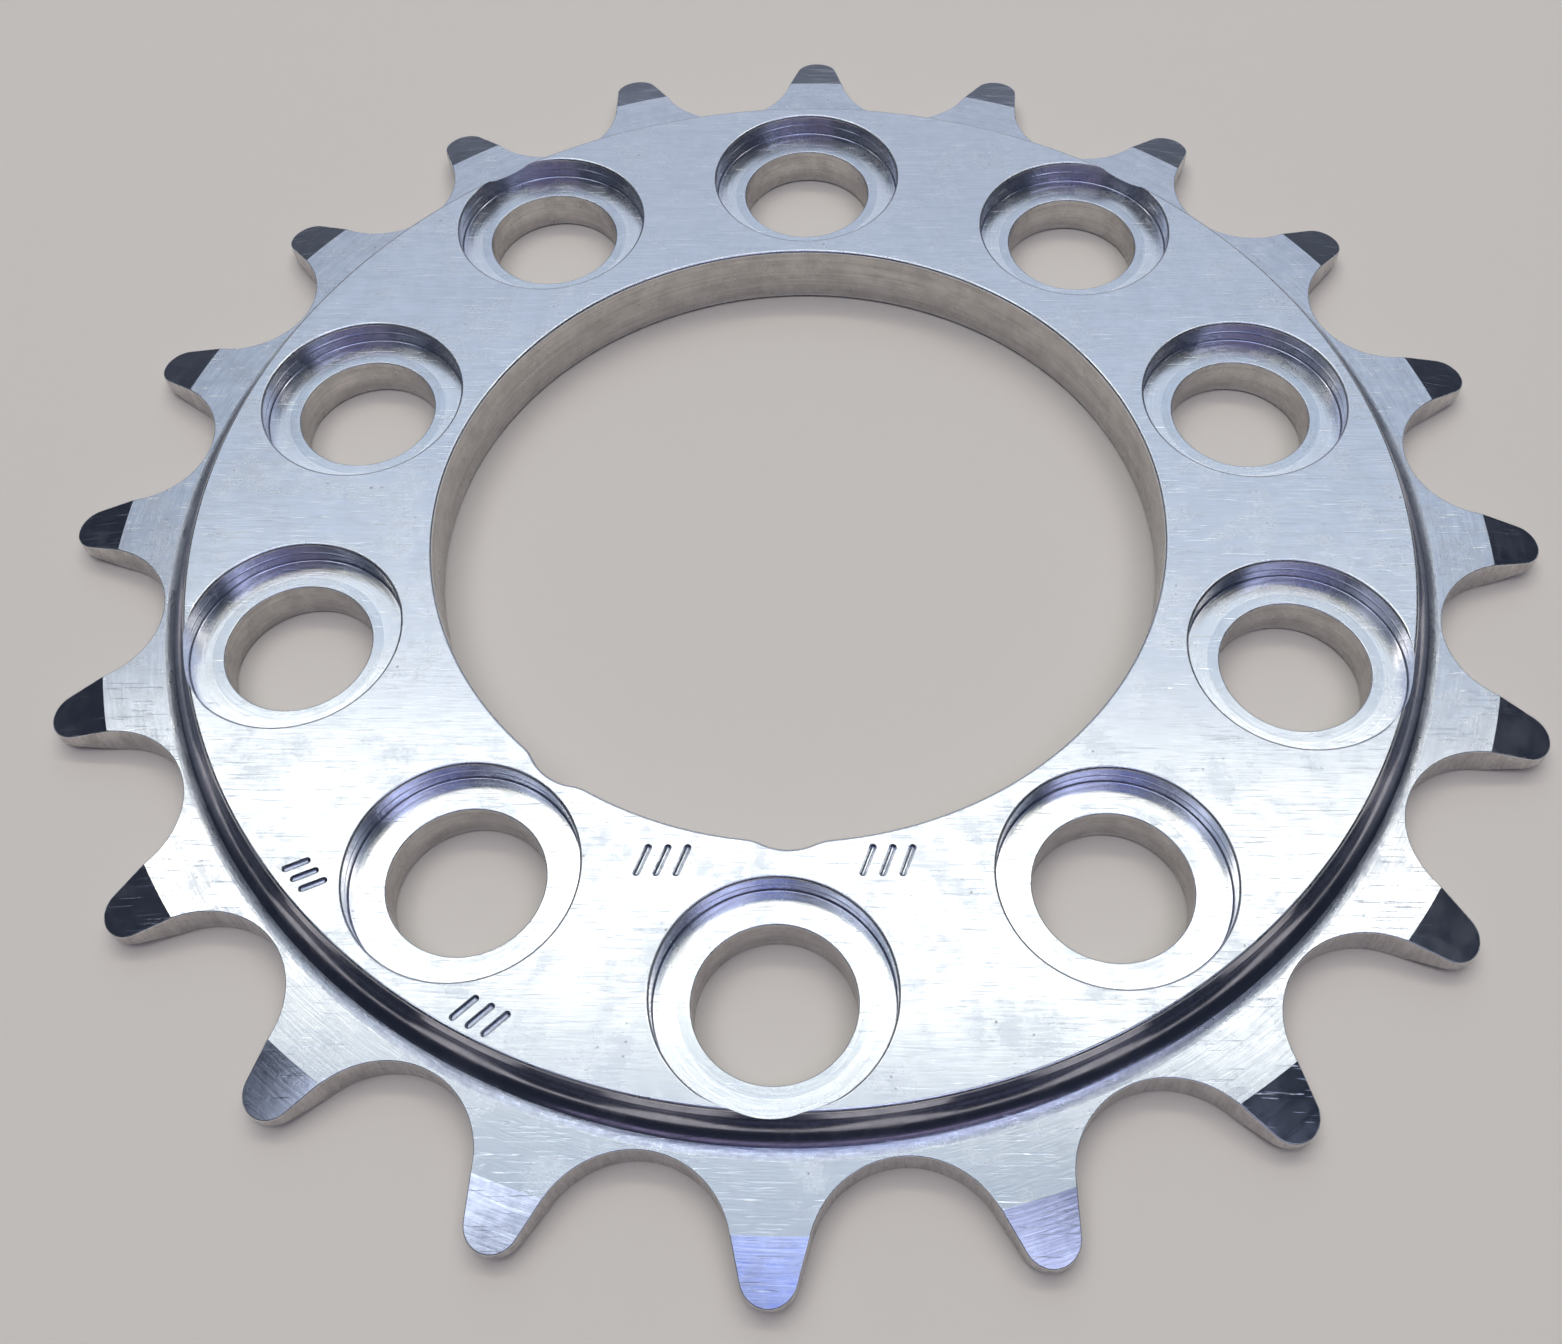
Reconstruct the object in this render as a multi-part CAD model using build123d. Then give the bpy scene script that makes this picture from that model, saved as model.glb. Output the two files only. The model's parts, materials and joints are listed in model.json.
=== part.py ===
from build123d import *
import os
from math import atan2, cos, degrees, radians, sin

# Chain sprocket ring, machined from one flat aluminium plate.
# It lies on its flat back with the row axis along +Z. The origin is at the bore's centre on the back.

# Plate and disc
disc_thickness = 4.0        # back face to the face round the bolt holes
tooth_width = 2.0           # thickness of the tooth ring, flush with the back
disc_radius = 34.9          # raised disc, whose step down to the tooth ring is mostly one cove
disc_edge_bevel = 0.2       # break on the disc's upper edge
upright_wall = 0.1          # short upright stretch between the bevel and the cove

# Teeth
tooth_count = 20
chain_pitch = 12.7          # distance between the centres of two seated rollers
roller_diameter = 7.9
seat_radius = 4.7           # bottom of each gap, a little wider than the roller
flank_angle = 14.2          # straight flank to the tooth's own centre line, in degrees
tooth_height = 2.36         # tip above the pitch circle
first_tooth_angle = -90.6   # turned slightly from the bolt holes
tip_bevel_length = 3.05     # radial length of the bevel on both faces of each tooth
tip_bevel_drop = 0.7        # how far each bevel falls by the tip

# Bore
bore_radius = 20.95
relief_angles = (-90.0, -126.0)
relief_depth = 0.46         # deepest point of each relief beyond the bore
relief_cutter_radius = 3.0
relief_blend_radius = 2.5   # rounds the corners between relief and bore

# Bolt holes, two circles that take turns round the ring, near the middle of the disc's land
holes_per_circle = 5
outer_bolt_shift = 1.075    # outer circle beyond the land's middle, which puts it at 58 mm across
outer_first_angle = -90.97
inner_bolt_shift = 0.075    # inner circle beyond the land's middle, which puts it at 56 mm across
inner_first_angle = -54.0
bolt_hole_diameter = 8.2
counterbore_diameter = 12.0
counterbore_depth = 1.5

# Worked out from the sizes above
overcut = 1.0               # how far cutting tools run past a face
half_tooth_angle = 180 / tooth_count
pitch_radius = chain_pitch / 2 / sin(radians(half_tooth_angle))
root_radius = pitch_radius - roller_diameter / 2
tip_radius = pitch_radius + tooth_height
cove_radius = disc_thickness - tooth_width - disc_edge_bevel - upright_wall
land_middle = (bore_radius + disc_radius) / 2
outer_bolt_radius = land_middle + outer_bolt_shift
inner_bolt_radius = land_middle + inner_bolt_shift


def polar(radius, angle, z=0.0):
    return Vector(radius * cos(radians(angle)), radius * sin(radians(angle)), z)


def tooth_outline():
    # On a tooth that points along +Y: the seat's arc meets a straight flank, and a round tip
    # touches both flanks.
    seat_centre = polar(root_radius + seat_radius, 90 - half_tooth_angle)
    flank_normal = polar(1, flank_angle)
    flank_foot = seat_centre - flank_normal * seat_radius
    flank_reach = flank_foot.dot(flank_normal)
    tip_centre = (tip_radius - flank_reach) / (1 - flank_normal.Y)
    flank_top = Vector(0, tip_centre) + flank_normal * (tip_radius - tip_centre)
    foot_swing = degrees(atan2(flank_foot.X, flank_foot.Y))
    top_swing = degrees(atan2(flank_top.X, flank_top.Y))
    edges = []
    for tooth in range(tooth_count):
        axis = first_tooth_angle + tooth * 2 * half_tooth_angle
        right_foot = polar(flank_foot.length, axis - foot_swing)
        right_top = polar(flank_top.length, axis - top_swing)
        tip = polar(tip_radius, axis)
        left_top = polar(flank_top.length, axis + top_swing)
        left_foot = polar(flank_foot.length, axis + foot_swing)
        seat_bottom = polar(root_radius, axis + half_tooth_angle)
        next_foot = polar(flank_foot.length, axis + 2 * half_tooth_angle - foot_swing)
        edges += [
            Edge.make_line(right_foot, right_top),
            Edge.make_three_point_arc(right_top, tip, left_top),
            Edge.make_line(left_top, left_foot),
            Edge.make_three_point_arc(left_foot, seat_bottom, next_foot),
        ]
    return Face(Wire(edges))


def ring_section():
    # Half section of the turned blank, from the axis out: disc, cove, tooth ring and bevelled rim.
    cove_centre = Vector(disc_radius + cove_radius, 0, tooth_width + cove_radius)
    cove_middle = cove_centre - Vector(cos(radians(45)), 0, sin(radians(45))) * cove_radius
    cove_top = cove_centre - Vector(cove_radius, 0, 0)
    cove_end = cove_centre - Vector(0, 0, cove_radius)
    bevel_start = tip_radius - tip_bevel_length
    edges = [
        *Polyline(
            (0, 0, 0), (bevel_start, 0, 0), (tip_radius, 0, tip_bevel_drop),
            (tip_radius, 0, tooth_width - tip_bevel_drop), (bevel_start, 0, tooth_width), cove_end,
        ).edges(),
        Edge.make_three_point_arc(cove_end, cove_middle, cove_top),
        *Polyline(
            cove_top, (disc_radius, 0, disc_thickness - disc_edge_bevel),
            (disc_radius - disc_edge_bevel, 0, disc_thickness), (0, 0, disc_thickness), (0, 0, 0),
        ).edges(),
    ]
    return Face(Wire(edges))


def bore_outline():
    # A round bore whose reliefs are cut by a small round cutter and blended at their corners.
    cutter_centre = bore_radius + relief_depth - relief_cutter_radius
    outline = Circle(bore_radius)
    for angle in relief_angles:
        outline += Location(polar(cutter_centre, angle)) * Circle(relief_cutter_radius)
    return fillet(outline.vertices(), relief_blend_radius)


def bolt_hole_tool():
    # Stepped cutter on its own axis: the through hole and the counterbore over it.
    hole = Cylinder(bolt_hole_diameter / 2, disc_thickness + 2 * overcut)
    counterbore = Cylinder(counterbore_diameter / 2, counterbore_depth + overcut)
    to_middle = Location((0, 0, disc_thickness / 2))
    to_floor = Location((0, 0, disc_thickness + overcut - (counterbore_depth + overcut) / 2))
    return to_middle * hole + to_floor * counterbore


def bolt_holes():
    tool = bolt_hole_tool()
    step = 360 / holes_per_circle
    tools = []
    for radius, first in ((outer_bolt_radius, outer_first_angle), (inner_bolt_radius, inner_first_angle)):
        for hole in range(holes_per_circle):
            tools.append(Location(polar(radius, first + hole * step)) * tool)
    return tools


def sprocket():
    teeth = extrude(tooth_outline(), disc_thickness)
    blank = revolve(ring_section(), axis=Axis.Z) & teeth
    bore = Location((0, 0, -overcut)) * extrude(bore_outline(), disc_thickness + 2 * overcut)
    return blank - bore - bolt_holes()


os.makedirs("parts", exist_ok=True)
chain_sprocket = sprocket()
chain_sprocket.label = "chain_sprocket"
export_step(chain_sprocket, "parts/chain_sprocket.step")
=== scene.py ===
import json
import bpy
import numpy as np
from math import acos, atan2, cos, pi, radians, sin
from mathutils.geometry import delaunay_2d_cdt
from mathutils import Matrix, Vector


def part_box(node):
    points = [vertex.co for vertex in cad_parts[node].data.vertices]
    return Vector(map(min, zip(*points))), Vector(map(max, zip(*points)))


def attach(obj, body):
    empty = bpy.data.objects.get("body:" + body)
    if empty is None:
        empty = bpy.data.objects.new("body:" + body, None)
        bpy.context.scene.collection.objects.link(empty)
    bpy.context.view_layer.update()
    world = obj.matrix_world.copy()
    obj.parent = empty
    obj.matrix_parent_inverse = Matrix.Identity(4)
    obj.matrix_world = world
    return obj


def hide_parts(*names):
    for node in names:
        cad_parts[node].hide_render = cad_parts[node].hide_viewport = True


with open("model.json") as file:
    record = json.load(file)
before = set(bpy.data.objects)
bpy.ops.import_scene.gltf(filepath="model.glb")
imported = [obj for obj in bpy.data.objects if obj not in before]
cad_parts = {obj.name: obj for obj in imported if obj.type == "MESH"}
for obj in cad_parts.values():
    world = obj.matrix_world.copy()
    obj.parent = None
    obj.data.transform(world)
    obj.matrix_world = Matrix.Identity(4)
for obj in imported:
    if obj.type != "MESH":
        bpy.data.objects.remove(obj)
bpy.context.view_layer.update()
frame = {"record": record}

# Sizes are in millimetres and turned into metres once, when a mesh is written.
metre = 0.001
tiny = 1e-9  # anything smaller is rounding
mounts = {m["name"]: m for m in frame["record"]["mounts"]}
boxLow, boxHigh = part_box("chain_sprocket")

# The ring as machined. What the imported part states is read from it, the rest is measured.
ring = {
    "thickness": (boxHigh.z - boxLow.z) / metre,
    "tipRadius": (boxHigh.x - boxLow.x) / 2 / metre,
    "boreRadius": mounts["bore"]["dims"]["r_mm"],
    "teeth": mounts["chain_teeth"]["dims"]["count"],
    "pitchRadius": mounts["chain_teeth"]["dims"]["pcd_mm"] / 2,
    "toothWidth": 2.0,
    "discRadius": 34.88,
    "discEdge": 0.2,  # rounded edge between the upper face and the disc's wall
    "wallLean": 0.13,  # the short wall under the edge leans out by this much
    "coveRadius": 1.5,  # bend from the wall down to the tooth ring
    "runOut": 22.0,  # the cutter chattered over the last degrees of the bend
    "rollerRadius": 3.95,
    "seatRadius": 4.7,  # bottom of each gap, a little wider than the roller
    "flankAngle": 14.2,  # straight flank to the tooth's own centre line
    "firstTooth": -90.6,
    "bevelLength": 3.05,  # along a radius, on both faces of every tooth
    "bevelDrop": 0.7,  # how far each bevel falls by the tip
    "rim": 0.07,  # broken edge round every tooth
    "backInner": 36.0,  # the back is one plain field out to here, and bands on the rays from here on
    "outlinePoints": (15, 5, 10),  # on half a seat, a flank and half a tip
    "edgeRows": 7,
    "coveRows": 13,
    "runOutRows": 7,
    "faceRows": 4,
    "backRows": 3,
    "bevelRows": 5,
    "rimRows": 5,
    "wallRows": 4,
}
faceZ = ring["thickness"]
toothZ = ring["toothWidth"]
halfStep = 180 / ring["teeth"]
rootRadius = ring["pitchRadius"] - ring["rollerRadius"]
seatCentre = rootRadius + ring["seatRadius"]
bevelStart = ring["tipRadius"] - ring["bevelLength"]
bevelSlope = ring["bevelDrop"] / ring["bevelLength"]
fieldEnd = ring["discRadius"] - ring["discEdge"]  # the disc's level face ends here
edgeZ = faceZ - ring["discEdge"]
wallEnd = ring["discRadius"] + ring["wallLean"]
coveEnd = wallEnd + ring["coveRadius"]  # the cove dies out here, straight below its own centre
coveTop = toothZ + ring["coveRadius"]
linesApart = 10  # neighbouring bands read the pattern of tool lines this far apart, so that it doesn't run on

finishNames = [
    "milledFace", "turnedRing", "cove", "coveRunOut", "toothBevel", "brokenEdge",
    "counterboreWall", "counterboreFloor", "counterboreRingHighlight", "gapWallPaintedShade", "boreWall", "stampedMark",
]
patches = []


def keepPatch(points, normals, tool, finish):
    # A grid of rows and columns: each cell becomes two triangles, turned to agree with the normals.
    rows, cols = points.shape[:2]
    index = np.arange(rows * cols).reshape(rows, cols)
    a, b = index[:-1, :-1].ravel(), index[:-1, 1:].ravel()
    c, d = index[1:, 1:].ravel(), index[1:, :-1].ravel()
    keepTriangles(points.reshape(-1, 3), normals.reshape(-1, 3), tool.reshape(-1, 2),
                  np.r_[np.c_[a, b, c], np.c_[a, c, d]], finish)


def keepTriangles(points, normals, tool, tris, finish):
    # Drops triangles without area and turns the rest to face the way their normals point.
    corner = points[tris]
    cross = np.cross(corner[:, 1] - corner[:, 0], corner[:, 2] - corner[:, 0])
    facing = (cross * normals[tris].sum(1)).sum(1)
    tris = np.where((facing < 0)[:, None], tris[:, ::-1], tris)[np.linalg.norm(cross, axis=1) > tiny]
    patches.append((points, normals, tool, tris, finishNames.index(finish)))


def polar(radius, angle):
    # Plan point at a radius and an angle in radians.
    return np.stack([radius * np.cos(angle), radius * np.sin(angle)], -1)


def lift(plan, z):
    # Plan points and their heights as points in space.
    return np.concatenate([plan, np.broadcast_to(z, plan.shape[:-1])[..., None]], -1)


def tilt(outward, up):
    # Unit normals from a plan direction and the share that points up.
    n = np.concatenate([outward, np.broadcast_to(up, outward.shape[:-1])[..., None]], -1)
    return n / np.linalg.norm(n, axis=-1, keepdims=True)


def rotation(turn):
    # Multiply plan points by this to turn them about the axis.
    return np.array([[cos(turn), sin(turn)], [-sin(turn), cos(turn)]])


def rowsFrom(start, end, count):
    # Even steps from start to end, one for each row of a band.
    return np.linspace(start, end, count)[:, None]


# One tooth stands on +Y: seat arc, straight flank, round tip, and the same again mirrored.
flankNormal = np.array([cos(radians(ring["flankAngle"])), sin(radians(ring["flankAngle"]))])
gapCentre = seatCentre * np.array([sin(radians(halfStep)), cos(radians(halfStep))])
flankReach = (gapCentre - ring["seatRadius"] * flankNormal) @ flankNormal
tipCentre = (ring["tipRadius"] - flankReach) / (1 - flankNormal[1])


def toothOutline(s, inset):
    # s runs 0 to 6 over a whole tooth, a unit to each arc or flank. Gives plan points and outward normals.
    half = np.minimum(s, 6 - s)[..., None]
    seat = ring["seatRadius"] + inset
    foot = gapCentre - seat * flankNormal
    top = np.array([0, tipCentre]) + (ring["tipRadius"] - tipCentre - inset) * flankNormal
    seatTurn = radians(270 - halfStep) + half * radians(ring["flankAngle"] - 90 + halfStep)
    seatWay = np.concatenate([np.cos(seatTurn), np.sin(seatTurn)], -1)
    tipTurn = radians(ring["flankAngle"]) + (half - 2) * radians(90 - ring["flankAngle"])
    tipWay = np.concatenate([np.cos(tipTurn), np.sin(tipTurn)], -1)
    onSeat, onFlank = half <= 1, half <= 2
    tipPoint = np.array([0, tipCentre]) + (ring["tipRadius"] - tipCentre - inset) * tipWay
    point = np.where(onSeat, gapCentre + seat * seatWay,
                     np.where(onFlank, foot + (half - 1) * (top - foot), tipPoint))
    normal = np.where(onSeat, -seatWay, np.where(onFlank, flankNormal, tipWay))
    side = np.where(s <= 3, 1.0, -1.0)
    point[..., 0] *= side
    normal = normal * np.stack([side, np.ones_like(side)], -1)
    return point, normal


def findOnOutline(measure, goal, low, high):
    # Halves the stretch of outline from low to high until measure(s) meets the goal.
    halvings = 60
    low, high = np.broadcast_arrays(np.asarray(low, float), np.asarray(high, float))
    low, high = low.copy(), high.copy()
    for _ in range(halvings):
        middle = (low + high) / 2
        short = measure(middle) < goal
        low, high = np.where(short, middle, low), np.where(short, high, middle)
    return (low + high) / 2


def outlineRadius(s):
    # How far from the axis the outline is, inside its broken edge.
    return np.linalg.norm(toothOutline(s, ring["rim"])[0], axis=-1)


def outlineAngle(s):
    # The same point's angle from the tooth's centre line.
    point = toothOutline(s, ring["rim"])[0]
    return np.arctan2(-point[..., 0], point[..., 1])


# Bolt holes. The outer five are wide enough to cut through the disc's edge, which leaves a low crest there.
bolts = {
    "holeRadius": mounts["outer_bolts"]["dims"]["hole_r_mm"],
    "perCircle": 5,
    "outerFirst": -90.97,
    "innerFirst": -54.0,
    "seatRadius": 6.0,
    "depth": 1.5,
    "floorCorner": 0.09,  # bend between the counterbore's floor and wall
    "edge": 0.16,  # rounded edge on the face
    "edgeShare": 0.3,  # the most of the land that the edge takes, where the land runs out
    "groove": (0.62, 0.78, 0.012),  # left in the wall by the cutter: its foot, its top and its depth
    "grooveShare": 0.1,
    "grooveLean": 0.15,  # how far the groove's sides face up or down
    "highlightRingStart": 4.75,  # the floor is painted paler from here on out: a painted highlight on its outer ring
    "holeEdge": 0.08,
    "columns": 96,
    "cornerRows": 5,
    "floorRows": 3,
    "edgeRows": 4,
    "wallRows": 4,
}
floorZ = faceZ - bolts["depth"]
boltStep = 360 / bolts["perCircle"]
outerCircle = mounts["outer_bolts"]["dims"]["pcd_mm"] / 2
innerCircle = mounts["inner_bolts"]["dims"]["pcd_mm"] / 2
outerAngles = np.radians(bolts["outerFirst"] + boltStep * np.arange(bolts["perCircle"]))
innerAngles = np.radians(bolts["innerFirst"] + boltStep * np.arange(bolts["perCircle"]))
breakCosine = (outerCircle ** 2 + fieldEnd ** 2 - bolts["seatRadius"] ** 2) / (2 * outerCircle * fieldEnd)
breakAngle = acos(breakCosine)  # the disc's edge is cut away this far to each side of an outer hole
toothToBolt = radians(bolts["outerFirst"] - ring["firstTooth"])  # from a tooth's centre line to its hole
teethPerBolt = ring["teeth"] // bolts["perCircle"]
nearMiss = 1e-3  # an outline point closer than this to the end of a cut gives way to the ray at that end


def outlineSteps():
    # Steps along one tooth's outline, with one where the bevel starts.
    onSeat, onFlank, onTip = ring["outlinePoints"]
    half = np.r_[np.linspace(0, 1, onSeat), np.linspace(1, 2, onFlank), np.linspace(2, 3, onTip),
                 findOnOutline(outlineRadius, bevelStart, 0.5, 2.0)]
    return np.unique(np.round(np.r_[half, 6 - half], 9))


# Rays that cross a cut stretch of the disc's edge, measured from the hole's own centre line.
breakSteps = outlineSteps()
breakSteps = breakSteps[np.abs(outlineAngle(breakSteps) - toothToBolt) < breakAngle - nearMiss]
breakEnds = findOnOutline(outlineAngle, toothToBolt + np.array([-breakAngle, breakAngle]), 0.0, 6.0)
breakSteps = np.r_[breakEnds[0], breakSteps, breakEnds[1]]
breakSpread = outlineAngle(breakSteps) - toothToBolt


def reach(spread):
    # How far from the axis an outer counterbore's wall is, at an angle from its own centre line.
    across = outerCircle * np.sin(spread)
    return outerCircle * np.cos(spread) + np.sqrt(bolts["seatRadius"] ** 2 - across ** 2)


def coveBend(radius):
    # Angle round the cove at a radius: a right angle where the cove dies out.
    return np.arccos(np.clip((coveEnd - radius) / ring["coveRadius"], -1, 1))


def edgeTurn(radius):
    # Angle round the disc's rounded edge at a radius: 0 on the wall, a right angle on the level face.
    return np.arccos(np.clip((radius - fieldEnd) / ring["discEdge"], 0, 1))


def crestHeight(radius):
    # Height of the disc's edge, wall or cove at a radius beyond the level face.
    onEdge = edgeZ + ring["discEdge"] * np.sin(edgeTurn(radius))
    onWall = edgeZ + (coveTop - edgeZ) * (radius - ring["discRadius"]) / ring["wallLean"]
    onCove = coveTop - ring["coveRadius"] * np.sin(coveBend(radius))
    return np.where(radius < ring["discRadius"], onEdge, np.where(radius < wallEnd, onWall, onCove))


def ringColumns():
    # Every ray of the tooth ring in turn: its angle, and the tooth outline's points and normal there.
    plain = outlineSteps()[:-1]
    clear = np.abs(outlineAngle(plain) - toothToBolt) > breakAngle + nearMiss
    atBolt = np.sort(np.r_[plain[clear], breakSteps])
    angles, insets, points, normals = [], [], [], []
    for tooth in range(ring["teeth"]):
        s = plain if tooth % teethPerBolt else atBolt
        rotate = rotation(radians(ring["firstTooth"] + 2 * halfStep * tooth - 90))
        inner = toothOutline(s, ring["rim"])[0] @ rotate
        outer, normal = toothOutline(s, 0.0)
        angles.append(np.arctan2(inner[:, 1], inner[:, 0]))
        insets.append(inner)
        points.append(outer @ rotate)
        normals.append(normal @ rotate)
    columns = [np.concatenate(x) for x in (angles, insets, points, normals)]
    order = np.argsort(columns[0])
    return [x[np.r_[order, order[0]]] for x in columns]


rayAngle, rayInset, rayPoint, rayNormal = ringColumns()
rayRadius = np.linalg.norm(rayInset, axis=1)
rayWay = polar(1.0, rayAngle)
rayTurn = np.unwrap(rayAngle)


def spreadFrom(angle, centres):
    # Smallest angle from any of the centres, with its sign.
    away = (angle[:, None] - centres[None, :] + pi) % (2 * pi) - pi
    return away[np.arange(len(angle)), np.abs(away).argmin(1)]


raySpread = spreadFrom(rayAngle, outerAngles)
rayBroken = np.abs(raySpread) <= breakAngle + tiny
# Where the turned surface starts on each ray: at the level face, or where a counterbore has cut in.
rayCut = np.where(rayBroken, reach(np.clip(raySpread, -breakAngle, breakAngle)), fieldEnd)


def ringTool(along):
    # Lines run round the ring: the first number goes round, the second goes across them.
    return np.stack([np.broadcast_to(rayTurn * ring["pitchRadius"], along.shape), along], -1)


def turnedBand(radius, z, outward, up, along, finish):
    # A band of the turned blank: rows of radii, heights and normals on every ray.
    _, radius, z, outward, up, along = np.broadcast_arrays(rayTurn, radius, z, outward, up, along)
    plan = radius[..., None] * rayWay
    keepPatch(lift(plan, z), tilt(outward[..., None] * rayWay, up), ringTool(along), finish)


def makeDiscStep():
    # Rounded edge, wall and cove, from the level face or from where a counterbore has cut them away.
    turn = edgeTurn(rayCut) * (1 - rowsFrom(0, 1, ring["edgeRows"]))
    radius = np.maximum(rayCut, fieldEnd + ring["discEdge"] * np.cos(turn))
    along = 2 * linesApart - turn * ring["discEdge"]
    turnedBand(radius, crestHeight(radius), np.cos(turn), np.sin(turn), along, "brokenEdge")
    radius = np.stack([np.maximum(rayCut, ring["discRadius"]), np.maximum(rayCut, wallEnd)])
    lean = ring["wallLean"] / (edgeZ - coveTop)
    turnedBand(radius, crestHeight(radius), 1, lean, 4 * linesApart + radius, "cove")
    first, chatter = coveBend(np.maximum(rayCut, wallEnd)), radians(90 - ring["runOut"])
    for start, end, rows, finish in ((first, chatter, ring["coveRows"], "cove"),
                                     (chatter, pi / 2, ring["runOutRows"], "coveRunOut")):
        bend = start + (end - start) * rowsFrom(0, 1, rows)
        turnedBand(coveEnd - ring["coveRadius"] * np.cos(bend), coveTop - ring["coveRadius"] * np.sin(bend),
                   np.cos(bend), np.sin(bend), bend * ring["coveRadius"] + 3 * linesApart, finish)


def makeToothFaces():
    # Level faces, then the bevels out to the tip: each falls evenly from where it starts.
    middle = np.minimum(bevelStart, rayRadius)
    radius = coveEnd + (middle - coveEnd) * rowsFrom(0, 1, ring["faceRows"])
    turnedBand(radius, toothZ, 0, 1, radius, "turnedRing")
    radius = ring["backInner"] + (middle - ring["backInner"]) * rowsFrom(0, 1, ring["backRows"])
    turnedBand(radius, 0, 0, -1, radius, "milledFace")
    radius = middle + (rayRadius - middle) * rowsFrom(0, 1, ring["bevelRows"])
    fall = bevelSlope * (radius - bevelStart).clip(0)
    turnedBand(radius, toothZ - fall, bevelSlope, 1, radius, "toothBevel")
    turnedBand(radius, fall, bevelSlope, -1, radius, "toothBevel")


def makeGaps():
    # Broken edges, each a quarter turn from face to wall, and the wall between them, along the tooth outline.
    fall = bevelSlope * (rayRadius - bevelStart).clip(0)
    lean = np.where(rayRadius > bevelStart, bevelSlope, 0.0)
    side = tilt(rayNormal, 0.0)
    turn = rowsFrom(0, pi / 2, ring["rimRows"])
    plan = rayInset + (rayPoint - rayInset) * np.sin(turn)[..., None]
    for top, sign in ((toothZ - fall, 1), (fall, -1)):
        z = top - sign * ring["rim"] * (1 - np.cos(turn))
        upper = tilt(lean[:, None] * rayWay, sign * 1.0)
        normals = np.cos(turn)[..., None] * upper + np.sin(turn)[..., None] * side
        keepPatch(lift(plan, z), normals, ringTool(z), "brokenEdge")
    top, bottom = toothZ - fall - ring["rim"], fall + ring["rim"]
    z = top + (bottom - top) * rowsFrom(0, 1, ring["wallRows"])
    plan, normals = [np.broadcast_to(x, (*z.shape, x.shape[-1])) for x in (rayPoint, side)]
    along = np.r_[0, np.cumsum(np.linalg.norm(np.diff(rayPoint, axis=0), axis=1))]
    keepPatch(lift(plan, z), normals, np.stack([z, np.broadcast_to(along, z.shape)], -1), "gapWallPaintedShade")


def discOutlines():
    # The level face's outer edge, in five stretches between the cut ones. The last one runs past 180 degrees.
    starts = np.flatnonzero(rayBroken[:-1] & ~rayBroken[1:])
    ends = np.flatnonzero(~rayBroken[:-1] & rayBroken[1:]) + 1
    outline = [polar(fieldEnd, rayAngle[start:end + 1]) for start, end in zip(starts, ends[1:])]
    return outline + [polar(fieldEnd, np.r_[rayAngle[starts[-1]:-1], rayAngle[:ends[0] + 1]])]


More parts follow.
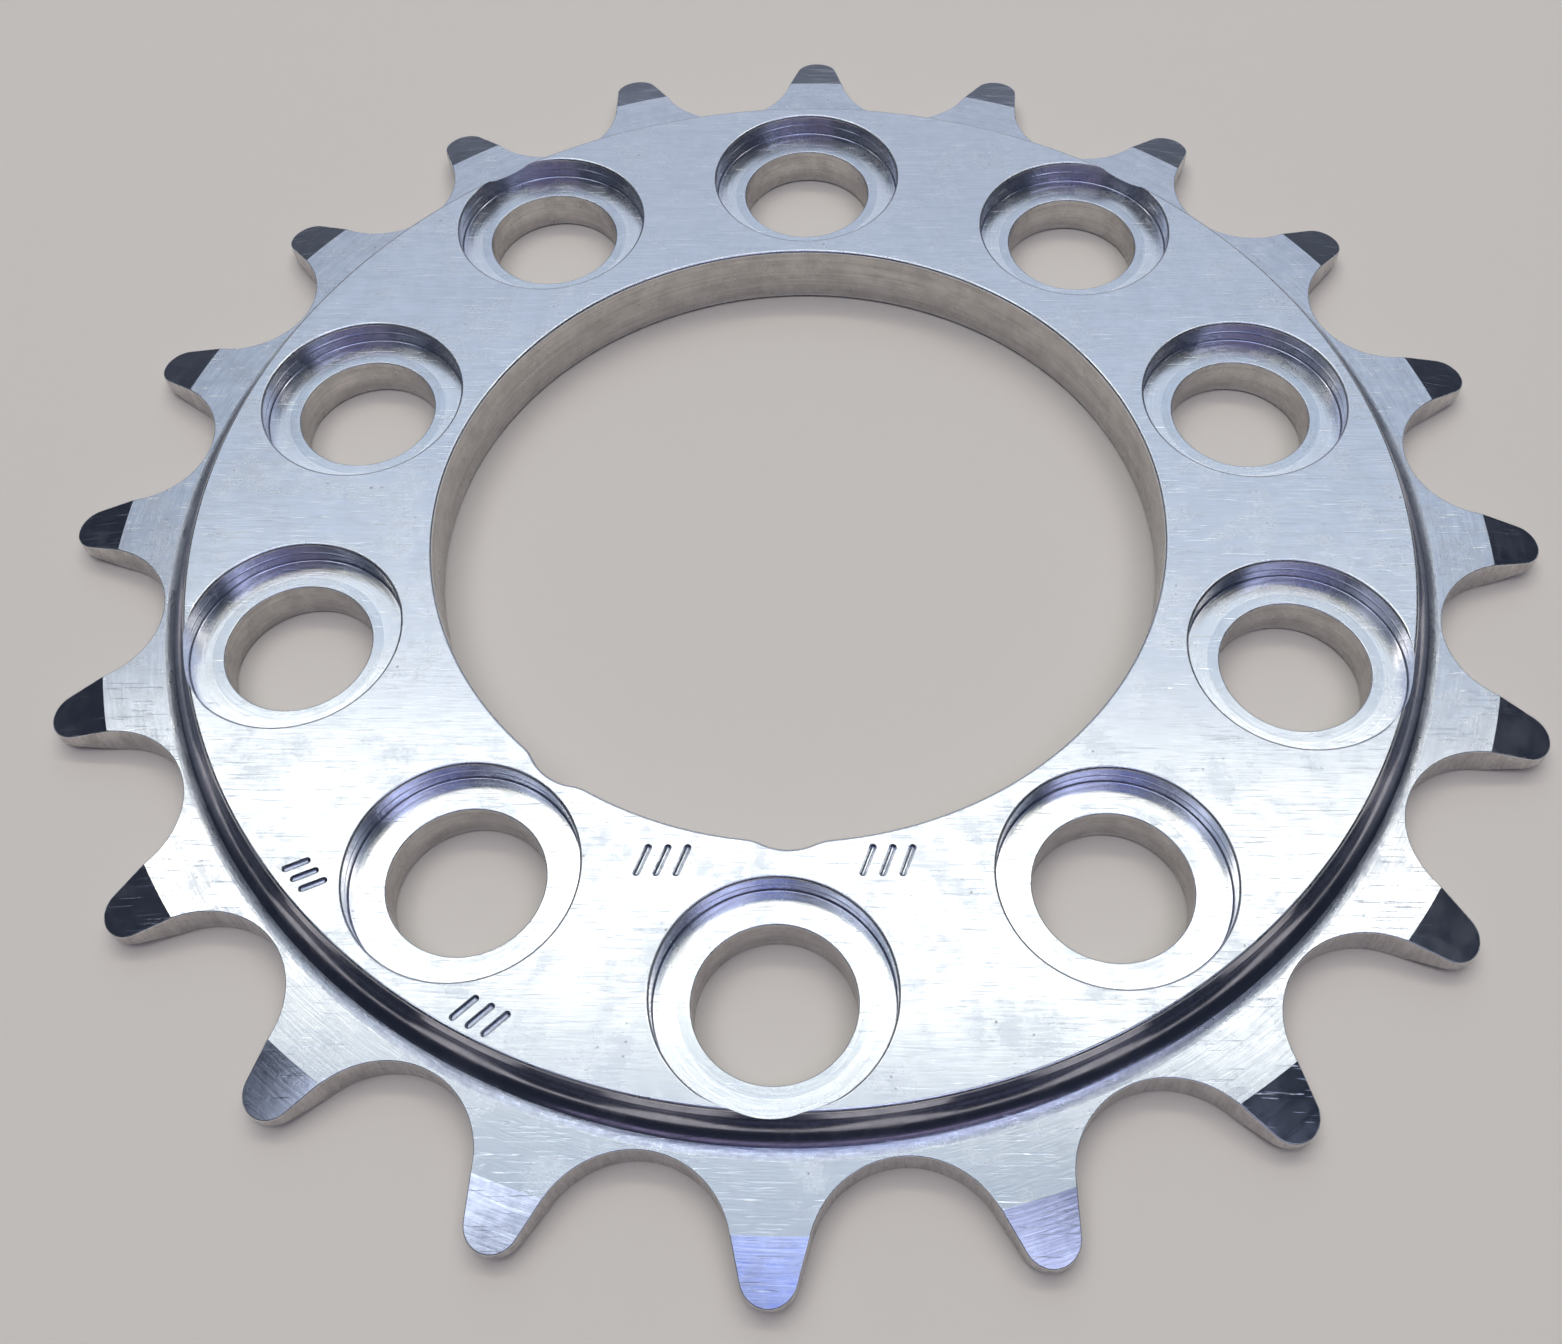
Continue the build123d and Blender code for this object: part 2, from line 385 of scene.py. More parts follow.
def makeCounterbore(centre, broken):
    # Polar rows about the hole's own axis. A broken one has its wall cut down where it meets the disc's edge.
    seat, hole = bolts["seatRadius"], bolts["holeRadius"]
    if broken:
        own = atan2(centre[1], centre[0])
        edgePoints = polar(reach(breakSpread), own + breakSpread) - centre
        cutTurn = np.unwrap(np.arctan2(edgePoints[:, 1], edgePoints[:, 0]))
        cutZ = crestHeight(reach(breakSpread))
        turn = np.linspace(cutTurn[-1], cutTurn[0] + 2 * pi, bolts["columns"])
        land = (fieldEnd - np.linalg.norm(centre + seat * polar(1.0, turn), axis=1)).clip(0)
        land[[0, -1]] = 0.0
    else:
        turn = np.linspace(0, 2 * pi, bolts["columns"])
        land = np.ones_like(turn)

    def band(turns, radius, z, inward, up, along, finish):
        # Rows of radii, heights and normals round the hole.
        _, radius, z, inward, up, along = np.broadcast_arrays(turns, radius, z, inward, up, along)
        way = polar(1.0, turns)
        tool = np.stack([np.broadcast_to(turns * seat, radius.shape), along], -1)
        keepPatch(lift(centre + radius[..., None] * way, z), tilt(-inward[..., None] * way, up), tool, finish)

    def floorAndHole(turns):
        # Quarter bend from the wall to the floor, the floor in two finishes, and the hole with broken edges.
        size, edge = bolts["floorCorner"], bolts["holeEdge"]
        bend = rowsFrom(0, pi / 2, bolts["cornerRows"])
        band(turns, seat - size * (1 - np.sin(bend)), floorZ + size * (1 - np.cos(bend)), np.sin(bend),
             np.cos(bend), bend * size + linesApart, "counterboreWall")
        for inner, outer, finish in ((hole + edge, bolts["highlightRingStart"], "counterboreFloor"),
                                     (bolts["highlightRingStart"], seat - size, "counterboreRingHighlight")):
            radius = rowsFrom(inner, outer, bolts["floorRows"])
            band(turns, radius, floorZ, 0, 1, radius, finish)
        bend = rowsFrom(0, pi / 2, bolts["edgeRows"])
        radius, fall = hole + edge * (1 - np.sin(bend)), edge * (1 - np.cos(bend))
        band(turns, radius, floorZ - fall, np.sin(bend), np.cos(bend), bend, "brokenEdge")
        z = rowsFrom(floorZ - edge, edge, bolts["wallRows"])
        band(turns, hole, z, 1, 0, z, "boreWall")
        band(turns, radius, fall, np.sin(bend), -np.cos(bend), bend, "brokenEdge")

    floorAndHole(turn)
    foot, head, depth = bolts["groove"]
    edge = np.minimum(bolts["edge"], bolts["edgeShare"] * land)
    depth = np.minimum(depth, bolts["grooveShare"] * land)
    low = floorZ + bolts["floorCorner"]
    levels = [low, floorZ + foot, floorZ + (foot + head) / 2, floorZ + head]
    z, inset = [np.stack(np.broadcast_arrays(turn, *rows)[1:])
                for rows in ([*levels, faceZ - edge], [0, 0, depth, 0, 0])]
    for row in range(len(levels)):
        both = slice(row, row + 2)
        lean = np.sign(inset[row + 1] - inset[row]) * bolts["grooveLean"]
        band(turn, seat + inset[both], z[both], 1, lean, z[both], "counterboreWall")
    bend = rowsFrom(0, pi / 2, bolts["edgeRows"])
    radius, z = seat + edge * (1 - np.cos(bend)), faceZ - edge * (1 - np.sin(bend))
    band(turn, radius, z, np.cos(bend), np.sin(bend), bend, "brokenEdge")
    bottomTurn = turn
    if broken:
        floorAndHole(cutTurn)
        z = np.stack([np.minimum(level, cutZ) for level in (*levels, faceZ)])
        band(cutTurn, seat, z, 1, 0, z, "counterboreWall")
        bottomTurn = np.r_[turn[:-1], cutTurn + 2 * pi]
    top = centre + (seat + edge)[:, None] * polar(1.0, turn)
    bottom = centre + (hole + bolts["holeEdge"]) * polar(1.0, bottomTurn)
    return top, bottom


# The bore: a circle with two shallow reliefs, each a small cutter's arc with blended corners.
bore = {
    "reliefs": (-126.0, -90.0),
    "depth": 0.46,
    "cutter": 3.0,
    "blend": 2.5,
    "edge": 0.18,  # rounded edge above and below
    "blendPoints": 9,
    "reliefPoints": 17,
    "circleStep": 2.0,
    "edgeRows": 5,
    "wallRows": 4,
}


def boreOutline():
    # Arcs in turn: centre, radius, start and sweep. Each is sampled and carries its normal into the bore.
    radius = ring["boreRadius"]
    centre = radius + bore["depth"] - bore["cutter"]
    blendReach, gap = radius + bore["blend"], bore["cutter"] + bore["blend"]
    swing = acos((blendReach ** 2 + centre ** 2 - gap ** 2) / (2 * blendReach * centre))
    lean = atan2(blendReach * sin(swing), blendReach * cos(swing) - centre)
    points, insets, normals = [], [], []

    def arc(middle, size, start, sweep, count, hollow):
        # Points along one arc, which ends where the next one starts.
        way = polar(1.0, start + np.linspace(0, sweep, count)[:-1])
        sign = -1.0 if hollow else 1.0
        points.append(middle + size * way)
        insets.append(middle + (size - sign * bore["edge"]) * way)
        normals.append(sign * way)

    for number, at in enumerate(bore["reliefs"]):
        at = radians(at)
        nextAt = radians(bore["reliefs"][(number + 1) % len(bore["reliefs"])]) + (2 * pi if number else 0)
        span = nextAt - swing - (at + swing)
        blend, sweep, count = bore["blend"], swing - lean, bore["blendPoints"]
        arc(polar(blendReach, at - swing), blend, at - swing + pi, sweep, count, False)
        arc(polar(centre, at), bore["cutter"], at - lean, 2 * lean, bore["reliefPoints"], True)
        arc(polar(blendReach, at + swing), blend, at + lean + pi, sweep, count, False)
        circlePoints = max(count, int(span / radians(bore["circleStep"])))
        arc(np.zeros(2), radius, at + swing, span, circlePoints, True)
    return [np.concatenate([np.concatenate(x), x[0][:1]]) for x in (points, insets, normals)]


def makeBore():
    # Rounded edges, each a quarter turn from face to wall, and the wall between them, along the outline.
    point, inset, normal = boreOutline()
    along = np.unwrap(np.arctan2(point[:, 1], point[:, 0])) * ring["boreRadius"]
    side = tilt(normal, 0.0)
    bend = rowsFrom(0, pi / 2, bore["edgeRows"])
    plan = inset + (point - inset) * np.sin(bend)[..., None]
    for top, sign in ((faceZ, 1), (0.0, -1)):
        z = top - sign * bore["edge"] * (1 - np.cos(bend)) + 0 * along
        normals = np.sin(bend)[..., None] * side + np.cos(bend)[..., None] * np.array([0, 0, sign])
        keepPatch(lift(plan, z), normals, np.stack([0 * z + along, z], -1), "brokenEdge")
    z = rowsFrom(faceZ - bore["edge"], bore["edge"], bore["wallRows"]) + 0 * along
    plan, normals = [np.broadcast_to(x, (*z.shape, x.shape[-1])) for x in (point, side)]
    keepPatch(lift(plan, z), normals, np.stack([0 * z + along, z], -1), "boreWall")
    return inset[:-1]


def fillFlat(loops, z, up, finish):
    # Level field between closed outlines: the plan is cut into triangles, and those outside or in a hole go.
    points = np.concatenate(loops)
    ends = np.cumsum([len(x) for x in loops])
    following = np.arange(len(points)) + 1
    following[ends - 1] = np.r_[0, ends[:-1]]
    edges = np.c_[np.arange(len(points)), following]
    mergeReach, corners = 1e-7, [tuple(p) for p in points]
    made, _, faces, sources, _, _ = delaunay_2d_cdt(corners, edges.tolist(), [], 0, mergeReach)
    source = np.array([s[0] if s else -1 for s in sources])
    if (source < 0).any() or len(made) != len(points):
        print("flat field has crossing outlines", len(made), len(points))
    plan = np.where((source >= 0)[:, None], points[source], np.array([tuple(v) for v in made]))
    tris = np.array([f for f in faces if len(f) == 3])
    middle = plan[tris].mean(1)
    start, end = points[edges[:, 0]], points[edges[:, 1]]
    straddles = (start[None, :, 1] > middle[:, None, 1]) != (end[None, :, 1] > middle[:, None, 1])
    rise = np.where(end[:, 1] == start[:, 1], tiny, end[:, 1] - start[:, 1])
    crossing = start[:, 0] + (middle[:, 1:2] - start[:, 1]) * (end[:, 0] - start[:, 0]) / rise
    inside = (straddles & (crossing > middle[:, :1])).sum(1) % 2 == 1
    normals = np.broadcast_to(np.array([0.0, 0.0, up]), (len(plan), 3))
    keepTriangles(lift(plan, z), normals, plan.copy(), tris[inside], finish)


# Three slanted strokes, punched into the face in four places: each group's centre, turn and size.
marks = {
    "width": 0.40,
    "depth": 0.15,
    "endPoints": 9,
    "rows": 6,
    "groups": (
        {"at": (-6.31, -22.1), "turn": 0.0, "size": 1.0},
        {"at": (5.05, -22.0), "turn": 0.0, "size": 1.0},
        {"at": (-14.5, -30.35), "turn": -26.0, "size": 0.9},
        {"at": (-24.3, -23.06), "turn": -46.0, "size": 0.75},
    ),
    "strokes": (((-1.25, -0.7), (-0.75, 0.7)), ((-0.25, -0.7), (0.25, 0.7)), ((0.75, -0.7), (1.25, 0.7))),
}


def makeMarks():
    # Each stroke is a round-ended groove: rows shrink from its outline to its middle line as the depth grows.
    loops = []
    half, count = marks["width"] / 2, marks["endPoints"]
    around = np.linspace(-pi / 2, pi / 2, count)
    t = np.linspace(1, 0, marks["rows"])[:, None, None]
    for group in marks["groups"]:
        rotate = rotation(radians(group["turn"]))
        for start, end in marks["strokes"]:
            start, end = [np.array(p) @ rotate * group["size"] + group["at"] for p in (start, end)]
            along = atan2(*(end - start)[::-1])
            way = np.r_[polar(1.0, along + around), polar(1.0, along + pi + around)]
            spine = np.r_[np.tile(end, (count, 1)), np.tile(start, (count, 1))]
            way, spine = np.r_[way, way[:1]], np.r_[spine, spine[:1]]
            plan = spine + half * t * way
            z = faceZ - marks["depth"] * (1 - t[..., 0] ** 2) + 0 * way[:, 0]
            slope = 2 * marks["depth"] * t[..., 0] / half
            keepPatch(lift(plan, z), tilt(-slope[..., None] * way, 1.0), plan.copy(), "stampedMark")
            loops.append(plan[0, :-1])
    return loops


def makeFlats(discOutline, counterTops, counterBottoms, boreInset, markLoops):
    # The upper field's outer edge runs along the disc's edge and in round each broken counterbore.
    outer = []
    for arc in discOutline:
        endAngle = atan2(*arc[-1][::-1])
        nearest = int(np.abs((outerAngles - endAngle + pi) % (2 * pi) - pi).argmin())
        outer += [arc[:-1], counterTops[nearest][::-1][:-1]]
    innerTops = [top[:-1] for top in counterTops[bolts["perCircle"]:]]
    fillFlat([np.concatenate(outer), boreInset] + innerTops + markLoops, faceZ, 1.0, "milledFace")
    bottoms = [bottom[:-1] for bottom in counterBottoms]
    fillFlat([polar(ring["backInner"], rayAngle[:-1]), boreInset] + bottoms, 0.0, -1.0, "milledFace")


def weld(name):
    # All patches as one mesh. Corners that share a place to a hundred-thousandth of a millimetre become one.
    finest = 1e5
    points = np.concatenate([p[0] for p in patches])
    offsets = np.cumsum([0] + [len(p[0]) for p in patches[:-1]])
    tris = np.concatenate([p[3] + o for p, o in zip(patches, offsets)])
    finish = np.concatenate([np.full(len(p[3]), p[4]) for p in patches])
    normals = np.concatenate([p[1] for p in patches])
    tool = np.concatenate([p[2] for p in patches])
    _, first, shared = np.unique(np.round(points * finest).astype(np.int64), axis=0, return_index=True,
                                 return_inverse=True)
    shared = shared.reshape(-1)
    welded = shared[tris]
    whole = (welded[:, 0] != welded[:, 1]) & (welded[:, 1] != welded[:, 2]) & (welded[:, 2] != welded[:, 0])
    tris, welded, finish = tris[whole], welded[whole], finish[whole]
    mesh = bpy.data.meshes.new(name)
    mesh.vertices.add(len(first))
    mesh.vertices.foreach_set("co", (points[first] * metre).astype(np.float32).ravel())
    mesh.loops.add(welded.size)
    mesh.loops.foreach_set("vertex_index", welded.astype(np.int32).ravel())
    mesh.polygons.add(len(welded))
    mesh.polygons.foreach_set("loop_start", np.arange(0, welded.size, 3, dtype=np.int32))
    mesh.polygons.foreach_set("material_index", finish.astype(np.int32))
    mesh.polygons.foreach_set("use_smooth", np.ones(len(welded), bool))
    mesh.update()
    toolLines = mesh.uv_layers.new(name="toolLines")
    toolLines.data.foreach_set("uv", (tool[tris].reshape(-1, 2) * metre).astype(np.float32).ravel())
    unit = normals / np.linalg.norm(normals, axis=1, keepdims=True)
    mesh.normals_split_custom_set(unit[tris].reshape(-1, 3).tolist())
    edges = np.concatenate([welded[:, [0, 1]], welded[:, [1, 2]], welded[:, [2, 0]]])
    _, count = np.unique(np.sort(edges, axis=1), axis=0, return_counts=True)
    print(name, "triangles", len(welded), "open edges", int((count == 1).sum()), "crowded edges",
          int((count > 2).sum()))
    piece = bpy.data.objects.new(name, mesh)
    bpy.context.scene.collection.objects.link(piece)
    return piece


makeDiscStep()
makeToothFaces()
makeGaps()
print("disc edge, cove and teeth shaped")
counterTops, counterBottoms = [], []
for circle, angles, broken in ((outerCircle, outerAngles, True), (innerCircle, innerAngles, False)):
    for angle in angles:
        top, bottom = makeCounterbore(polar(circle, angle), broken)
        counterTops.append(top)
        counterBottoms.append(bottom)
print("counterbores shaped")
boreInset = makeBore()
markLoops = makeMarks()
makeFlats(discOutlines(), counterTops, counterBottoms, boreInset, markLoops)
print("bore, strokes and level faces shaped")
sprocket = weld("sprocketRing")
print("sprocket ring welded")

# Machined aluminium. Tool lines (length and width), ridges (height) and mottling are in millimetres. The rest
# are shares: roughness and its spread, grain, and how much scuffs, scratches and pits show.
finishes = {
    "milledFace": {"colour": (0.80, 0.82, 0.87), "worn": (0.64, 0.67, 0.73), "rough": 0.21,
                   "spread": 0.10, "grain": 0.45, "lines": (1.8, 0.11), "ridge": 0.0018,
                   "mottle": 1.6, "scuff": 0.06, "scratch": 1.6, "pits": 0.6},
    "turnedRing": {"colour": (0.77, 0.79, 0.84), "worn": (0.59, 0.62, 0.69), "rough": 0.22,
                   "spread": 0.09, "grain": 0.35, "lines": (1.8, 0.11), "ridge": 0.003,
                   "mottle": 1.2, "scuff": 0.06, "scratch": 1.2, "pits": 0.6},
    # Cove: base colour darker and bluer than the face, a painted shade and painted reflection for the dark
    # band along the cove.
    "cove": {"colour": (0.66, 0.67, 0.76), "worn": (0.44, 0.45, 0.54), "rough": 0.17,
             "spread": 0.08, "grain": 0.5, "lines": (12.0, 0.12), "ridge": 0.003,
             "mottle": 0.8, "scuff": 0.05, "scratch": 0.4, "pits": 0.3},
    "coveRunOut": {"colour": (0.92, 0.93, 0.97), "worn": (0.58, 0.60, 0.68), "rough": 0.30,
                   "spread": 0.12, "grain": 0.3, "lines": (1.0, 0.12), "ridge": 0.014,
                   "mottle": 0.30, "scuff": 0.08, "scratch": 0.3, "pits": 0.5},
    "toothBevel": {"colour": (0.77, 0.79, 0.87), "worn": (0.52, 0.54, 0.64), "rough": 0.16,
                   "spread": 0.10, "grain": 0.5, "lines": (2.4, 0.14), "ridge": 0.004,
                   "mottle": 1.0, "scuff": 0.04, "scratch": 1.0, "pits": 0.3},
    "brokenEdge": {"colour": (0.88, 0.89, 0.92), "worn": (0.70, 0.72, 0.77), "rough": 0.26,
                   "spread": 0.12, "grain": 0.2, "lines": (1.5, 0.10), "ridge": 0.004,
                   "mottle": 0.8, "scuff": 0.10, "scratch": 0.5, "pits": 0.2},
    "counterboreWall": {"colour": (0.80, 0.80, 0.90), "worn": (0.60, 0.60, 0.72), "rough": 0.17,
                        "spread": 0.08, "grain": 0.6, "lines": (7.0, 0.12), "ridge": 0.003,
                        "mottle": 0.9, "scuff": 0.05, "scratch": 0.5, "pits": 0.4},
    "counterboreFloor": {"colour": (0.80, 0.83, 0.88), "worn": (0.66, 0.70, 0.76), "rough": 0.23,
                         "spread": 0.10, "grain": 0.45, "lines": (2.4, 0.14), "ridge": 0.004,
                         "mottle": 1.4, "scuff": 0.05, "scratch": 0.8, "pits": 0.4},
    # Outer ring of each counterbore floor: base colour paler than the floor, a painted highlight.
    "counterboreRingHighlight": {"colour": (0.94, 0.95, 0.97), "worn": (0.84, 0.86, 0.90), "rough": 0.24,
                        "spread": 0.08, "grain": 0.5, "lines": (3.0, 0.14), "ridge": 0.007,
                        "mottle": 1.0, "scuff": 0.05, "scratch": 0.5, "pits": 0.3},
    # Gap walls: base colour darkened and warmed, a painted shade and painted reflection of a brown surface
    # below.
    "gapWallPaintedShade": {"colour": (0.66, 0.64, 0.64), "worn": (0.42, 0.40, 0.40), "rough": 0.26,
                "spread": 0.12, "grain": 0.5, "lines": (2.2, 0.22), "ridge": 0.008,
                "mottle": 1.0, "scuff": 0.10, "scratch": 0.5, "pits": 0.5},
    # Hole and bore walls: base colour darkened and warmed, a painted shade and painted reflection of a brown
    # surface below.
    "boreWall": {"colour": (0.66, 0.64, 0.63), "worn": (0.44, 0.42, 0.41), "rough": 0.22,
                 "spread": 0.10, "grain": 0.6, "lines": (8.0, 0.18), "ridge": 0.005,
                 "mottle": 1.4, "scuff": 0.10, "scratch": 0.5, "pits": 0.5},
    "stampedMark": {"colour": (0.72, 0.74, 0.80), "worn": (0.50, 0.52, 0.58), "rough": 0.22,
                    "spread": 0.10, "grain": 0.1, "lines": (1.0, 0.20), "ridge": 0.003,
                    "mottle": 0.5, "scuff": 0.08, "scratch": 0.2, "pits": 0.2},
}

# Wear that all finishes share. A scale is cells to a metre. A mask starts at its first number and is full at
# its second.
wear = {
    "lineDetail": 3.0,
    "lineGrit": 0.55,
    "coarser": 4,  # coarse tool lines are this many times as long and as wide as fine ones
    "coarseDetail": 2.0,
    "fineShare": 0.6,
    "coarseShare": 0.4,
    "lineMask": (0.38, 0.62),
    "cloud": {"Detail": 7.0, "Roughness": 0.68},
    "cloudMask": (0.38, 0.64),
    "cloudHeight": 0.8,
    "wornByCloud": 0.5,
    "wornByLines": 0.5,
    "patches": {"Scale": 320.0, "Detail": 8.0, "Roughness": 0.7},
    "scuffMask": (0.50, 0.57),
    "scratches": ((0.35, 240.0), (-0.9, 310.0), (1.9, 280.0)),  # turn, and scale along the scratch
    "scratchAcross": 8000.0,
    "scratchMask": (0.68, 0.74),
    "pitScale": 1400.0,
    "pitMask": (-0.13, -0.07),
    "pitPatchMask": (0.56, 0.62),
    "pitColour": (0.10, 0.09, 0.09, 1),
}


def addNode(tree, kind, inputs, **settings):
    # New node with its settings, its plain values and its links from other sockets.
    node = tree.nodes.new(kind)
    for name, value in settings.items():
        setattr(node, name, value)
    for name, value in inputs.items():
        if isinstance(value, bpy.types.NodeSocket):
            tree.links.new(value, node.inputs[name])
        else:
            node.inputs[name].default_value = value
    return node


def stretchedNoise(tree, where, scale, turn=0.0, detail=wear["lineDetail"]):
    # Noise drawn out into lines: scale is how many cells fit into a metre along and across them.
    placed = addNode(tree, "ShaderNodeMapping", {"Vector": where, "Rotation": (0, 0, turn),
                                                 "Scale": (scale[0], scale[1], 1.0)})
    return addNode(tree, "ShaderNodeTexNoise", {"Vector": placed.outputs[0], "Scale": 1.0, "Detail": detail,
                                                "Roughness": wear["lineGrit"]}).outputs[0]


def between(tree, value, low, high):
    # 0 below low, 1 above high, and even in between.
    return addNode(tree, "ShaderNodeMapRange", {0: value, 1: low, 2: high}).outputs[0]


def combine(tree, operation, first, second, third=0.0):
    # One step of arithmetic between sockets or plain numbers.
    return addNode(tree, "ShaderNodeMath", {0: first, 1: second, 2: third}, operation=operation).outputs[0]


def mixColours(tree, factor, first, second):
    # Colour sockets of the Mix node: 0 is the share, 6 and 7 are the two colours.
    return addNode(tree, "ShaderNodeMix", {0: factor, 6: first, 7: second}, data_type="RGBA").outputs[2]


def machinedMetal(name, look):
    # Tool lines of two widths, mottling, crisp scuffs, short scratches in three directions and dark pits.
    material = bpy.data.materials.new(name)
    material.use_nodes = True
    tree = material.node_tree
    tree.nodes.clear()
    tool = addNode(tree, "ShaderNodeUVMap", {}, uv_map="toolLines").outputs[0]
    place = addNode(tree, "ShaderNodeTexCoord", {}).outputs["Object"]
    along, across = [1 / metre / size for size in look["lines"]]
    fine = stretchedNoise(tree, tool, (along, across))
    coarse = stretchedNoise(tree, tool, (along / wear["coarser"], across / wear["coarser"]),
                            detail=wear["coarseDetail"])
    lines = combine(tree, "MULTIPLY_ADD", coarse, wear["coarseShare"],
                    combine(tree, "MULTIPLY", fine, wear["fineShare"]))
    cloud = addNode(tree, "ShaderNodeTexNoise", {"Vector": place, "Scale": 1 / metre / look["mottle"],
                                                 **wear["cloud"]}).outputs[0]
    patchy = addNode(tree, "ShaderNodeTexNoise", {"Vector": place, **wear["patches"]}).outputs[0]
    scuff = between(tree, patchy, *wear["scuffMask"])
    dashes = [between(tree, stretchedNoise(tree, place, (scale, wear["scratchAcross"]), turn, 1.0),
                      *wear["scratchMask"]) for turn, scale in wear["scratches"]]
    scratch = combine(tree, "MAXIMUM", dashes[0], combine(tree, "MAXIMUM", dashes[1], dashes[2]))
    cells = addNode(tree, "ShaderNodeTexVoronoi", {"Vector": place, "Scale": wear["pitScale"]})
    middles = combine(tree, "MULTIPLY", cells.outputs["Distance"], -1.0)
    pit = combine(tree, "MULTIPLY", between(tree, middles, *wear["pitMask"]),
                  between(tree, patchy, *wear["pitPatchMask"]))
    worn = combine(tree, "MULTIPLY_ADD", between(tree, cloud, *wear["cloudMask"]), wear["wornByCloud"],
                   combine(tree, "MULTIPLY", between(tree, lines, *wear["lineMask"]), wear["wornByLines"]))
    colour = mixColours(tree, worn, (*look["colour"], 1), (*look["worn"], 1))
    colour = mixColours(tree, combine(tree, "MULTIPLY", pit, look["pits"]), colour, wear["pitColour"])
    rough = combine(tree, "MULTIPLY_ADD", worn, look["spread"], look["rough"] - look["spread"] / 2)
    rough = combine(tree, "MULTIPLY_ADD", scuff, look["scuff"], rough)
    height = combine(tree, "MULTIPLY_ADD", scratch, -look["scratch"], lines)
    height = combine(tree, "MULTIPLY_ADD", cloud, wear["cloudHeight"], height)
    bump = addNode(tree, "ShaderNodeBump", {"Height": height, "Distance": look["ridge"] * metre,
                                            "Strength": 1.0}).outputs[0]
    grainWay = addNode(tree, "ShaderNodeTangent", {}, direction_type="UV_MAP", uv_map="toolLines").outputs[0]
    shader = addNode(tree, "ShaderNodeBsdfPrincipled", {
        "Base Color": colour, "Metallic": 1.0, "Roughness": rough, "Anisotropic": look["grain"],
        "Anisotropic Rotation": 0.25, "Normal": bump, "Tangent": grainWay})
    addNode(tree, "ShaderNodeOutputMaterial", {"Surface": shader.outputs[0]})
    return material


for finish in finishNames:
    sprocket.data.materials.append(machinedMetal(finish, finishes[finish]))
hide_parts("chain_sprocket")
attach(sprocket, "root")
print("finishes made")

# Camera at the photograph's place, and a soft ceiling over a plain pale floor. Places are in metres.
view = {
    "place": (0.0032643, -0.0579329, 0.0794783),
    "turn": (32.6324, 1.1867, 1.0582),
    "lens": 38.0565,
    "sensor": 36.0,
    "shift": (-0.0173, -0.0128),
    "clip": (0.001, 20.0),
}
camera = bpy.data.objects.new("camera", bpy.data.cameras.new("camera"))
camera.location = view["place"]
camera.rotation_euler = [radians(a) for a in view["turn"]]
camera.data.lens = view["lens"]
camera.data.sensor_width = view["sensor"]
camera.data.shift_x, camera.data.shift_y = view["shift"]
camera.data.clip_start, camera.data.clip_end = view["clip"]
bpy.context.scene.collection.objects.link(camera)
bpy.context.scene.camera = camera

studio = {
    "floorSize": 1.2,
    "floorDrop": 0.0001,
    "floorColour": (0.84, 0.79, 0.72),
    "floorRough": 0.7,
    "horizon": (0.148, 0.163, 0.192),
    "horizonFade": (0.22, 0.42),  # heights, as the sine of the angle, between which the horizon fades out
    "horizonSides": (-0.1, 0.1),  # it fades in towards the back between these
    "overhead": (0.019, 0.024, 0.038),
    "panelHeight": 1.0,
    "panels": {  # low and high corner over the floor, and the light that each sends out
        "nearCeiling": {"low": (-0.65, 0.12), "high": (0.65, 0.34), "glow": (0.39, 0.49, 0.59)},
        "lamp": {"low": (-0.65, 0.355), "high": (0.65, 0.495), "glow": (3.45, 3.38, 3.00), "turn": -2.5},
        "middleCeiling": {"low": (-0.65, 0.52), "high": (0.65, 1.00), "glow": (0.58, 0.67, 0.80)},
        "farCeiling": {"low": (-0.65, 1.00), "high": (0.65, 2.80), "glow": (0.50, 0.55, 0.65)},
        "blueCeiling": {"low": (-0.65, -0.05), "high": (0.12, 0.12), "glow": (0.66, 0.74, 0.89)},
        "whiteLeft": {"low": (-0.65, -0.25), "high": (0.12, -0.05), "glow": (1.50, 1.64, 1.88)},
        "whiteRight": {"low": (0.12, -0.50), "high": (0.65, -0.25), "glow": (1.55, 1.68, 2.30)},
        "violetMiddle": {"low": (-0.12, -0.50), "high": (0.12, -0.25), "glow": (0.22, 0.32, 0.92)},
        "nearEnd": {"low": (-0.65, -1.10), "high": (0.65, -0.80), "glow": (0.28, 0.23, 0.36)},
    },
    "floorLight": {"height": 1.5, "size": 1.5, "glow": (1.10, 1.00, 0.90)},
}


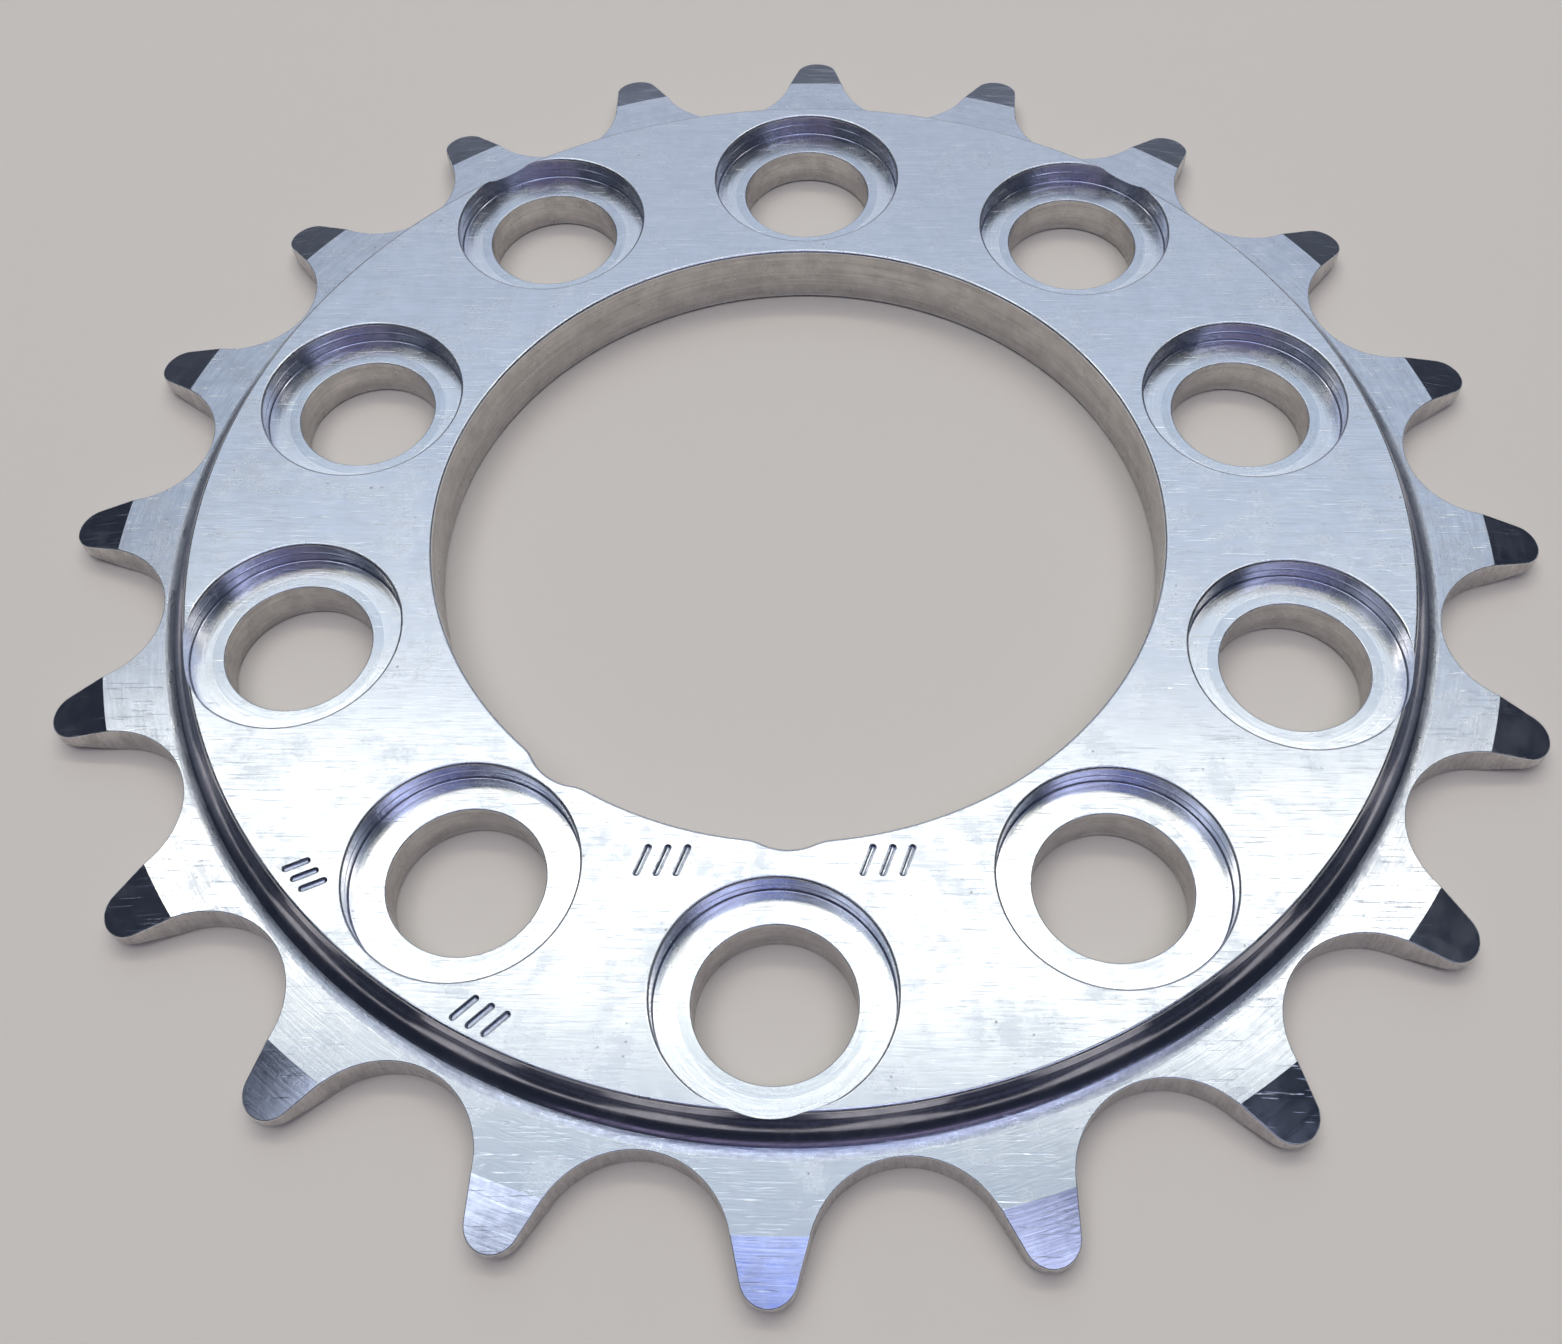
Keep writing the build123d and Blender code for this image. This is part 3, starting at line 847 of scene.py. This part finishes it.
def makeFloor():
    # A square just below the sprocket.
    half, z = studio["floorSize"] / 2, -studio["floorDrop"]
    mesh = bpy.data.meshes.new("floor")
    corners = [(-half, -half, z), (half, -half, z), (half, half, z), (-half, half, z)]
    mesh.from_pydata(corners, [], [(0, 1, 2, 3)])
    floor = bpy.data.objects.new("floor", mesh)
    bpy.context.scene.collection.objects.link(floor)
    material = bpy.data.materials.new("paleFloor")
    material.use_nodes = True
    shader = material.node_tree.nodes["Principled BSDF"]
    shader.inputs["Base Color"].default_value = (*studio["floorColour"], 1)
    shader.inputs["Roughness"].default_value = studio["floorRough"]
    mesh.materials.append(material)


def hangPanel(name, middle, size, glow):
    # A flat light that faces down. Its power is its glow times its area times pi.
    light = bpy.data.lights.new(name, "AREA")
    light.shape = "RECTANGLE"
    light.size, light.size_y = size
    brightest = max(glow)
    light.energy = brightest * size[0] * size[1] * pi
    light.color = [channel / brightest for channel in glow]
    panel = bpy.data.objects.new(name, light)
    panel.location = middle
    bpy.context.scene.collection.objects.link(panel)
    return panel


def makePanels():
    # The ceiling's panels between their corners, and a wide light for the floor.
    for name, panel in studio["panels"].items():
        low, high = np.array(panel["low"]), np.array(panel["high"])
        middle = (*((low + high) / 2), studio["panelHeight"])
        hung = hangPanel(name, middle, (high - low).tolist(), panel["glow"])
        hung.rotation_euler.z = radians(panel.get("turn", 0.0))
    fill = studio["floorLight"]
    floorLight = hangPanel("floorLight", (0, 0, fill["height"]), (fill["size"], fill["size"]), fill["glow"])
    floorLight.visible_glossy = False  # it brightens the floor and leaves the metal alone


def makeWorld():
    # Dim surroundings, with a lighter band low down behind the sprocket.
    world = bpy.data.worlds.new("studio")
    world.use_nodes = True
    tree = world.node_tree
    direction = addNode(tree, "ShaderNodeTexCoord", {}).outputs["Generated"]
    way = addNode(tree, "ShaderNodeSeparateXYZ", {"Vector": direction}).outputs
    start, end = studio["horizonFade"]
    low = addNode(tree, "ShaderNodeMapRange", {0: way["Z"], 1: start, 2: end, 3: 1.0, 4: 0.0}).outputs[0]
    band = combine(tree, "MULTIPLY", low, between(tree, way["Y"], *studio["horizonSides"]))
    colour = mixColours(tree, band, (*studio["overhead"], 1), (*studio["horizon"], 1))
    tree.links.new(colour, tree.nodes["Background"].inputs[0])
    bpy.context.scene.world = world


makeFloor()
makePanels()
makeWorld()
bpy.context.scene.view_settings.view_transform = "Standard"
print("studio set")
